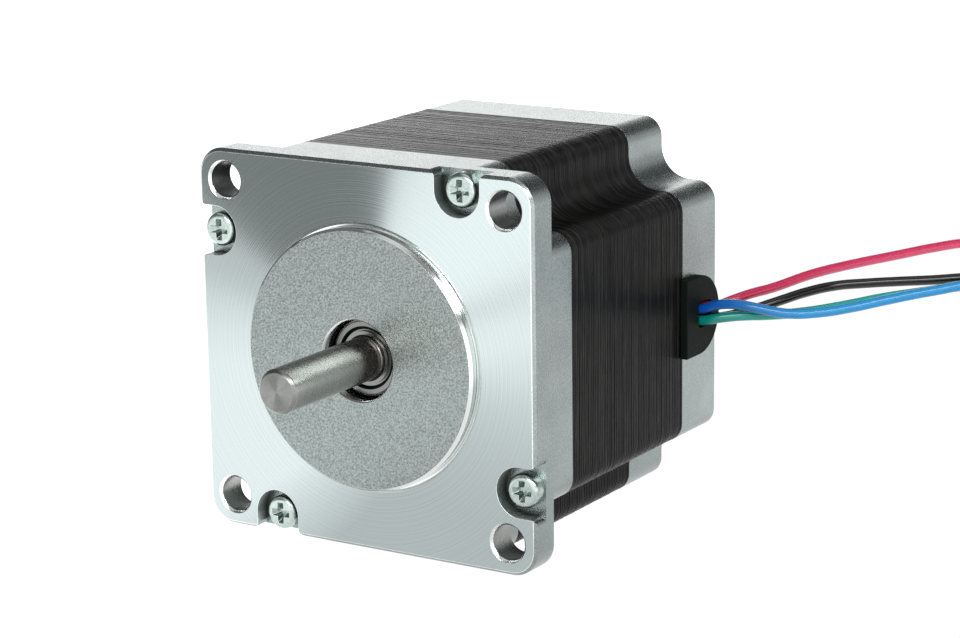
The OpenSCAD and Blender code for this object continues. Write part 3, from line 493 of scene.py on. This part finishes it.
def front_finish(middle, normal):
    """Which of the front cover's finishes a face has."""
    radius = math.hypot(middle.x, middle.z)
    facing, leaning = normal.y < FACING_FRONT, normal.y < LEANING_FRONT
    if facing and abs(middle.y) < SAME_PLANE:
        return FACED
    if facing and abs(middle.y - PILOT_FACE) < SAME_PLANE:
        return BOSS
    if bolt_axis_near(middle) < BOLT_RIM_R:
        return EDGE if leaning else DRILLED
    bevel = abs(normal.y - BEVEL_SLOPE) < 0.03
    if 0 < middle.y < BROKEN_EDGE and radius > FACED_FROM_R and leaning and not (facing or bevel):
        return EDGE
    on_pilot_wall = PILOT_WALL_FROM_R < radius < PILOT_WALL_TO_R
    if (on_pilot_wall or radius < SHAFT_OPENING_R) and PILOT_FACE < middle.y < TURNED_TO:
        return TURNED
    if from_screw(middle).length < POCKET_R + 0.3 and 0.1 < middle.y < POCKET_DEPTH + 0.05:
        return CAST if normal.y < -0.9 else POCKET
    return CAST


front = eased_copy("front_cover", "front_cover_casting", [
    blasted_aluminium("front_aluminium"), faced, turned, drilled, boss, milled, broken],
    EASING, finish_at=front_finish, wider=(on_the_face, BROKEN_EDGE))
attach(front, "housing")


# Four long pan-head screws with a cross recess, zinc plated. They run through the front cover and
# the core and are threaded into the rear cover.
HEAD_FACE, HEAD_EASING = 0.7, 0.1
RECESS_REACH, RECESS_DEPTH, RECESS_TAPER, RECESS_CORNER, RECESS_INNER_R = 1.7, 1.2, 0.55, 0.24, 0.9
RECESS_FLOOR = HEAD_FACE + RECESS_DEPTH
DARK_CRYSTAL, LIGHT_CRYSTAL, PLATE_DEPTH = 0.92, 1.08, 0.08 * MM


def zinc_plate(name, tone, rough):
    """Zinc on steel: fine crystals that make its tone and its sheen a little uneven."""
    zinc = Finish(name, Metallic=1.0)
    place = zinc.place()
    crystals = zinc.swing(zinc.noise(place, 2600, 3), reach=0.15)
    darker, lighter = (tuple(share * c for c in tone) for share in (DARK_CRYSTAL, LIGHT_CRYSTAL))
    return zinc.feed(Base_Color=zinc.mix(crystals, darker, lighter),
                     Roughness=zinc.swing(zinc.noise(place, 1800, 3), rough, rough + 0.14),
                     Normal=zinc.bump(zinc.noise(place, 1500, 2), 0.3, PLATE_DEPTH))


def narrowed(corner):
    """The punch leaves a recess that narrows towards its floor."""
    if abs(corner.y - RECESS_FLOOR) > 0.02:
        return corner
    return corner - (1 - RECESS_TAPER) * from_screw(corner)


def between_wings(edge):
    """The four corners of a recess that stand between the wings of its cross."""
    ends = [v.co / MM for v in edge.verts]
    return abs(ends[0].y - ends[1].y) > RECESS_DEPTH / 2 and all(
        from_screw(end).length < RECESS_INNER_R and end.y < RECESS_FLOOR + 0.1 for end in ends)


def screw_finish(middle, normal):
    """The second finish, a darker zinc of painted shade, is for the walls of the recess."""
    deep = HEAD_FACE + 0.13 < middle.y < RECESS_FLOOR + 0.2
    return int(deep and abs(normal.y) < 0.99 and from_screw(middle).length < RECESS_REACH)


screws = eased_copy("body_screws", "pan_head_screws", [
    zinc_plate("screw_steel", (0.42, 0.49, 0.465), 0.16),
    # painted shade: the walls of the cross recess get a darker zinc, for the shade that falls
    # inside it
    zinc_plate("recess_steel_painted_shade", (0.3, 0.35, 0.33), 0.1)],
    HEAD_EASING, finish_at=screw_finish, wider=(between_wings, RECESS_CORNER), moved=narrowed)
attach(screws, "housing")


# The stator core: 65 stampings of electrical steel, each 0.5 mm thick, stacked, pressed together
# and lacquered black. The edge of every stamping shows on the outside, with a fine step between.
HALF, NOTCH_WALL, NOTCH_R, CORNER_R, ARC_STEPS = 28.2, 19.1, 4.8, 3.0, 6
STACK_FROM, STACK_TO, STAMPINGS = 10.1, 42.6, 65
STAMPING = (STACK_TO - STACK_FROM) / STAMPINGS
STEP_DEEP, STEP_WIDE, UNEVEN = 0.12, 0.09, 0.05
BORE_R, TOOTH_DEPTH, YOKE_R, POLE_W, POLES, POLE_TEETH, TEETH = 15.3, 0.75, 24.2, 4.6, 8, 6, 50
SHOE_R, SHOE_RISE, TOOTH_SHARE, YOKE_STEPS = 17.15, 0.7, 0.4, 8
SCREW_HOLE_R, SCREW_HOLE_SIDES = 1.55, 24
STREAK_LENGTHENED, STREAK_NARROWED, SCRATCH_DEPTH = 0.12, 6.0, 0.06 * MM


def polar(angle, r):
    """A point at an angle in degrees and a distance."""
    return (r * math.cos(math.radians(angle)), r * math.sin(math.radians(angle)))


def arc(cx, cz, r, start, end):
    """The points of a round corner, from one angle to the other."""
    turns = (polar(start + (end - start) * i / ARC_STEPS, r) for i in range(ARC_STEPS + 1))
    return [(cx + x, cz + z) for x, z in turns]


def repeated(points, times):
    """The points, and so many times in all round the shaft's axis."""
    return [(x * math.cos(a) - z * math.sin(a), x * math.sin(a) + z * math.cos(a))
            for a in (math.tau * i / times for i in range(times)) for x, z in points]


def notched_outline(inset=0.0):
    """The outline of core and rear cover, counterclockwise, seen from the front as x and z."""
    half, wall, notch, corner = HALF - inset, NOTCH_WALL - inset, NOTCH_R + inset, CORNER_R - inset
    mid = NOTCH_WALL + NOTCH_R
    return repeated(arc(half - corner, wall - corner, corner, 0, 90)
                    + arc(mid, mid, notch, 270, 180)
                    + arc(wall - corner, half - corner, corner, 0, 90), 4)


def bore_outline():
    """The stator's inside: eight toothed pole shoes on their shanks, and the slots between."""
    pitch = 360 / TEETH
    tooth = TOOTH_SHARE * pitch / 2
    edge = (POLE_TEETH - 1) / 2 * pitch + tooth
    shank = math.degrees(math.asin(POLE_W / 2 / YOKE_R))
    pole = [(SHOE_R + SHOE_RISE, -POLE_W / 2), polar(-edge, SHOE_R - SHOE_RISE / 2)]
    for t in range(POLE_TEETH):
        mid = (t - (POLE_TEETH - 1) / 2) * pitch
        pole += [polar(mid - tooth, BORE_R), polar(mid + tooth, BORE_R)]
        if t < POLE_TEETH - 1:
            pole += [polar(mid + tooth, BORE_R + TOOTH_DEPTH),
                     polar(mid + pitch - tooth, BORE_R + TOOTH_DEPTH)]
    pole += [polar(edge, SHOE_R - SHOE_RISE / 2), (SHOE_R + SHOE_RISE, POLE_W / 2)]
    slot = 360 / POLES - 2 * shank
    pole += [polar(shank + slot * i / YOKE_STEPS, YOKE_R) for i in range(YOKE_STEPS + 1)]
    return repeated(pole, POLES)


def screw_hole(x, z):
    """The hole through which a body screw runs."""
    around = (polar(360 * i / SCREW_HOLE_SIDES, SCREW_HOLE_R) for i in range(SCREW_HOLE_SIDES))
    return [(x + dx, z + dz) for dx, dz in around]


def ring_of(work, loop, y):
    """The vertices of a loop, at a depth behind the flange."""
    return [work.verts.new((x * MM, y * MM, z * MM)) for x, z in loop]


def walls(work, rings):
    """Joins rings of vertices, each a closed loop, into a wall."""
    for one, other in zip(rings, rings[1:]):
        for i in range(len(one)):
            j = (i + 1) % len(one)
            work.faces.new((one[i], one[j], other[j], other[i]))


def close_end(work, rings):
    """Fills the flat end between an outer ring and the rings of its holes."""
    edges = [work.edges.get((ring[i], ring[(i + 1) % len(ring)]))
             for ring in rings for i in range(len(ring))]
    bmesh.ops.triangle_fill(work, use_beauty=True, use_dissolve=False, edges=edges)


lacquer = Finish("black_core", Specular_IOR_Level=0.06)
place = lacquer.place()
x, y, z = lacquer.parts(place)
stamping = (y - STACK_FROM * MM) / (STAMPING * MM)
each = lacquer.node("ShaderNodeTexWhiteNoise", {"noise_dimensions": "1D"}, W=stamping.floor())
drawn = lacquer.point(x * STREAK_LENGTHENED, y * STREAK_NARROWED, z * STREAK_LENGTHENED)
streak = lacquer.noise(drawn, 1400, 4, 0.65)
scuff = lacquer.noise(place, 420, 5, 0.6)
wear = lacquer.spread(streak * 0.75 + each * 0.15 + scuff * 0.15, 0.5, 0.75)
lacquer.feed(Base_Color=lacquer.mix(wear, (0.0015, 0.0017, 0.0015), (0.02, 0.021, 0.019)),
             Roughness=lacquer.swing(streak, 0.17, 0.27),
             Normal=lacquer.bump(streak * 0.7 + scuff * 0.3, 0.8, SCRATCH_DEPTH))

work = bmesh.new()
outer_rings = []
sunk = notched_outline(STEP_DEEP)
random.seed(7)
for k in range(STAMPINGS):
    first, last = k == 0, k == STAMPINGS - 1
    y0 = STACK_FROM + k * STAMPING
    full = notched_outline(0.0 if first or last else random.uniform(0.0, UNEVEN))
    if not first:
        outer_rings.append(ring_of(work, sunk, y0))
    outer_rings.append(ring_of(work, full, y0 + (0.0 if first else STEP_WIDE)))
    outer_rings.append(ring_of(work, full, y0 + STAMPING - (0.0 if last else STEP_WIDE)))
walls(work, outer_rings)
near_ends, far_ends = [outer_rings[0]], [outer_rings[-1]]
for loop in [bore_outline()] + [screw_hole(x, z) for x, z in SCREW_PLACES]:
    near, far = ring_of(work, loop, STACK_FROM), ring_of(work, loop, STACK_TO)
    walls(work, [near, far])
    near_ends.append(near)
    far_ends.append(far)
close_end(work, near_ends)
close_end(work, far_ends)
bmesh.ops.recalc_face_normals(work, faces=work.faces)
mesh = bpy.data.meshes.new("lamination_stack")
work.to_mesh(mesh)
work.free()
stack = finish_mesh("lamination_stack", mesh, [lacquer], sharp=30)
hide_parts("stator_core")
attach(stack, "housing")


# The rear cover: the same aluminium casting, blasted, with the seat of the rear bearing inside and
# a slot in its side for the grommet.
REAR_EASING = 0.15
rear = eased_copy("rear_cover", "rear_cover_casting", [blasted_aluminium("rear_aluminium")],
                  REAR_EASING)
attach(rear, "housing")


# The grommet: moulded black rubber, with a D-shaped lip outside. Its neck sits in the slot of the
# rear cover and keeps the leads off the metal's edge.
LIP_EASING, RUBBER_DEPTH = 0.35, 0.08 * MM
rubber = Finish("grommet_rubber", Specular_IOR_Level=0.04)
grain = rubber.noise(rubber.place(), 2600, 4, 0.6)
rubber.feed(Base_Color=rubber.mix(grain, (0.002, 0.003, 0.003), (0.006, 0.009, 0.008)),
            Roughness=rubber.swing(grain, 0.42, 0.6),
            Normal=rubber.bump(grain, 0.3, RUBBER_DEPTH))
grommet = eased_copy("lead_grommet", "side_grommet", [rubber], LIP_EASING, segments=3)
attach(grommet, "housing")


# The shaft: a ground steel bar with fine marks round it, darker towards the bearing with painted
# shade and some oil. Its end is bevelled, and faced with a fine feed whose grooves have one flank
# leaning in and one out.
SHAFT_EASING, END_FROM, ROUND_MARKS = 0.06, -20, 0.05
SHADE_AND_OIL_FROM, SHADE_AND_OIL_TO = -11 * MM, -3 * MM
GROUND_DEPTH, FEED, FLANK_LEAN, FEED_DEPTH = 0.04 * MM, 0.06 * MM, math.radians(14), 0.01 * MM
GROUND, END, BEVEL = range(3)
ground = Finish("shaft_steel", Metallic=1.0)
x, y, z = ground.parts(ground.place())
marks = ground.noise(ground.point(x * ROUND_MARKS, y, z * ROUND_MARKS), 9000, 3, 0.7)
clean = ground.mix(marks, (0.505, 0.485, 0.46), (0.695, 0.67, 0.635))
# painted shade near the bearing, with some oil: the ground steel darkens towards the cover
bearing_shade_and_oil = ground.spread(y, SHADE_AND_OIL_FROM, SHADE_AND_OIL_TO, 0, 0.5)
ground.feed(Base_Color=ground.mix(bearing_shade_and_oil, clean, (0.1, 0.09, 0.08)),
            Roughness=ground.swing(marks, 0.2, 0.3),
            Normal=ground.bump(marks, 0.25, GROUND_DEPTH))

shaft_end = Finish("shaft_end", Metallic=1.0, Roughness=0.15)
place = shaft_end.place()
flanks = shaft_end.from_shaft(place).there_and_back(FEED)
shaft_end.feed(Base_Color=shaft_end.mix(shaft_end.noise(place, 1500, 3),
                                        (0.15, 0.155, 0.15), (0.22, 0.225, 0.22)),
               Normal=shaft_end.bump(flanks * (math.tan(FLANK_LEAN) / FEED_DEPTH), 1.0,
                                     FEED_DEPTH))

bevel = Finish("shaft_bevel", Metallic=1.0)
marks = bevel.noise(bevel.place(), 2500, 2)
bevel.feed(Base_Color=bevel.mix(marks, (0.17, 0.17, 0.165), (0.23, 0.23, 0.225)),
           Roughness=bevel.swing(marks, 0.26, 0.36))


def shaft_finish(middle, normal):
    """Which of the shaft's finishes a face has."""
    if middle.y > END_FROM or normal.y > -0.3:
        return GROUND
    return END if normal.y < FACING_FRONT else BEVEL


shaft = eased_copy("output_shaft", "ground_shaft", [ground, shaft_end, bevel], SHAFT_EASING,
                   finish_at=shaft_finish)
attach(shaft, "rotor")


# Two ball bearings, pressed on the shaft and held in the covers: ground steel rings, polished
# balls in a pressed and greased cage, and a thin pressed shield at each side.
BRUSHED_DEPTH, BAND_EDGE = 0.04 * MM, 0.02
# The bands paint shadow in the bearings' grooves and steps, and a highlight on one step of each
# shield.
PAINTED_SHADOW, PAINTED_HIGHLIGHT = 0.004, 0.95
RING_BANDS = (4.12, 4.7, PAINTED_SHADOW), (6.0, 6.5, PAINTED_SHADOW)
SHIELD_BANDS = (4.3, 4.6, PAINTED_SHADOW), (5.26, 5.36, PAINTED_SHADOW), (5.36, 5.58, PAINTED_HIGHLIGHT), (5.58, 5.9, PAINTED_SHADOW)


def plain_metal(name, low, high, rough, bands=()):
    """A bare metal. bands are rings of painted shadow in its grooves and steps, and of painted
    highlight on a step: two radii and a tone.
    """
    finish = Finish(name, Metallic=1.0)
    place = finish.place()
    grain = finish.noise(place, 2500, 3)
    radius = finish.from_shaft(place)
    tone = finish.mix(grain, low, high)
    for inner, outer, band in bands:
        in_band = finish.spread(radius, (inner - BAND_EDGE) * MM, inner * MM) * finish.spread(
            radius, outer * MM, (outer + BAND_EDGE) * MM, 1, 0)
        tone = finish.mix(in_band, tone, (band, band, band))
    return finish.feed(Base_Color=tone,
                       Roughness=finish.swing(grain, rough * 0.8, rough * 1.2),
                       Normal=finish.bump(grain, 0.15, BRUSHED_DEPTH))


ring_metal = plain_metal("ring_steel", (0.15, 0.155, 0.145), (0.21, 0.22, 0.21), 0.24, RING_BANDS)
bearing_metals = {
    "outer_ring": ring_metal,
    "inner_ring": ring_metal,
    "shields": plain_metal("shield_steel", (0.15, 0.158, 0.152), (0.2, 0.21, 0.203), 0.28,
                           SHIELD_BANDS),
    "balls": plain_metal("ball_steel", (0.4, 0.4, 0.41), (0.5, 0.5, 0.51), 0.12),
    "cage": plain_metal("greased_cage", (0.05, 0.04, 0.02), (0.08, 0.06, 0.03), 0.35),
}
for end in ("front", "rear"):
    for part, metal in bearing_metals.items():
        dress(f"{end}_bearing_{part}", metal)


# The rotor: two toothed cups of pressed steel stampings with a ring magnet between them, and a
# turned brass spacer at each side. All are pressed on the shaft.
cup_steel = plain_metal("rotor_steel", (0.3, 0.3, 0.3), (0.4, 0.4, 0.4), 0.4)
dress("front_rotor_cup", cup_steel)
dress("rear_rotor_cup", cup_steel)
dress("rotor_magnet", plain_metal("magnet_black", (0.12, 0.12, 0.125), (0.17, 0.17, 0.175), 0.5))
dress("rotor_spacers", plain_metal("spacer_brass", (0.5, 0.4, 0.2), (0.6, 0.5, 0.28), 0.35))


# The wave washer: spring steel, pressed into waves. It lies between the rear bearing and its cover
# and loads both bearings, so that the shaft has no end play.
dress("wave_washer", plain_metal("spring_steel", (0.42, 0.42, 0.41), (0.5, 0.5, 0.5), 0.3))


# The two insulators: frames of black nylon, moulded, pushed on the ends of the core. They keep
# the windings off the steel.
nylon = moulded_plastic("insulator_nylon", (0.016, 0.016, 0.018), (0.026, 0.026, 0.028),
                        0.5, 1800, 0.06 * MM)
dress("front_insulator", nylon)
dress("rear_insulator", nylon)


# The terminal board: green glass laminate at the side of the rear insulator, to which the leads
# are soldered.
dress("terminal_board", moulded_plastic("board_laminate", (0.016, 0.095, 0.034),
                                        (0.026, 0.13, 0.05), 0.35, 2500, 0.03 * MM))


# The windings: enamelled copper wire, wound on the eight poles over the insulators, four coils to
# each of the two phases.
WIRE_PITCH, WIRE_DEPTH = 0.45 * MM, 0.1 * MM
for phase, low, high in (("a", (0.42, 0.14, 0.05), (0.62, 0.25, 0.1)),
                         ("b", (0.36, 0.11, 0.04), (0.55, 0.2, 0.08))):
    wire = Finish(f"phase_{phase}_copper", Metallic=1.0)
    turns = (wire.from_shaft(wire.place()) * (math.tau / WIRE_PITCH)).sine()
    # painted shade: each turn of wire is lighter on its crest and darker in the groove next to it
    wire.feed(Base_Color=wire.mix(wire.spread(turns, -1, 1), low, high),
              Roughness=wire.spread(turns, -1, 1, 0.5, 0.3),
              Normal=wire.bump(turns, 0.8, WIRE_DEPTH))
    dress(f"phase_{phase}_windings", wire)


# A plain white table that glows as a light table does, a little more at the left, in front, at the
# right and behind the motor. The metal shows this glow as its soft light bands.
TABLE_WHITE, TABLE_HALF = 1.01, 3000
LEFT_GLOW, FRONT_GLOW, RIGHT_GLOW, BACK_GLOW, BACK_GLOW_FAR = 0.8, 0.62, 0.9, 0.36, 0.16
glowing = Finish("table", Base_Color=(0, 0, 0), Roughness=1.0, Emission_Strength=1.0,
                 Specular_IOR_Level=0.0)
x, y, z = glowing.parts(glowing.place())
leftwards = x * -0.97 - y * 0.24
left_glow = glowing.spread(leftwards, 0.006, 0.028, 0, LEFT_GLOW) * glowing.spread(
    leftwards, 0.1, 0.35, 1, 0.15)
front_glow = glowing.spread(y * -1.0, 0.01, 0.12, 0, FRONT_GLOW) * glowing.spread(
    x, -0.08, -0.01)
right_glow = glowing.spread(x, 0.05, 0.1, 0, RIGHT_GLOW) * glowing.spread(y, -0.06, -0.02, 1, 0)
back_glow = glowing.spread(x, 0.03, 0.04) * glowing.spread(
    x, 0.05, 0.1, BACK_GLOW, BACK_GLOW_FAR) * glowing.spread(y, 0.03, 0.06)
glow = left_glow.most(front_glow).most(right_glow).most(back_glow) + TABLE_WHITE
glowing.feed(Emission_Color=glowing.point(glow, glow, glow))
corners = [(x * TABLE_HALF, y * TABLE_HALF, -HALF) for x, y in ((-1, -1), (1, -1), (1, 1), (-1, 1))]
table = mesh_piece("table", corners, [(0, 1, 2, 3)], glowing)


# The soft studio round the table: a wide screen at the front right, a low white wall behind, a
# lamp above in front and a ceiling, in a dim room. x, y and z are the way that a reflection looks
# into it, and the camera itself sees a plain pale backdrop.
SCREEN, WALL, LAMP, CEILING, ROOM, ROOM_BEHIND, BACKDROP = 1.95, 2.05, 9, 0.9, 0.18, 0.07, 1.01
world = bpy.data.worlds.new("studio")
studio = Nodes(world)
x, y, z = studio.parts(studio.node("ShaderNodeTexCoord", {}, out="Generated"))
screen = studio.spread(x * 0.8746 - y * 0.4848, -0.012, 0.012, 0.4, SCREEN) * studio.spread(
    y, 0.1, 0.4, 1, 0.4) * studio.spread(z, 0.24, 0.34, 1.0, 0.15)
wall = studio.spread(y, 0.2, 0.5) * studio.spread(x, -0.25, 0.1, 1.0, 0.36) * studio.spread(
    z, 0.28, 0.35, WALL, 0.2)
lamp = studio.spread(z, 0.42, 0.5, 0, LAMP) * studio.spread(z, 0.66, 0.74, 1, 0) * studio.spread(
    y, -0.35, -0.2, 1, 0) * studio.spread(x, -0.15, 0.0)
ceiling = studio.spread(z, 0.85, 0.92, 0, CEILING)
room = studio.spread(y, 0.1, 0.4, ROOM, ROOM_BEHIND)
seen = studio.node("ShaderNodeLightPath", {}, out="Is Camera Ray")
light = screen.most(wall).most(lamp).most(ceiling).most(room).most(seen * BACKDROP)
studio.tree.links.new(light.socket, studio.tree.nodes["Background"].inputs["Color"])
bpy.context.scene.world = world

bpy.context.scene.view_settings.view_transform = "Standard"
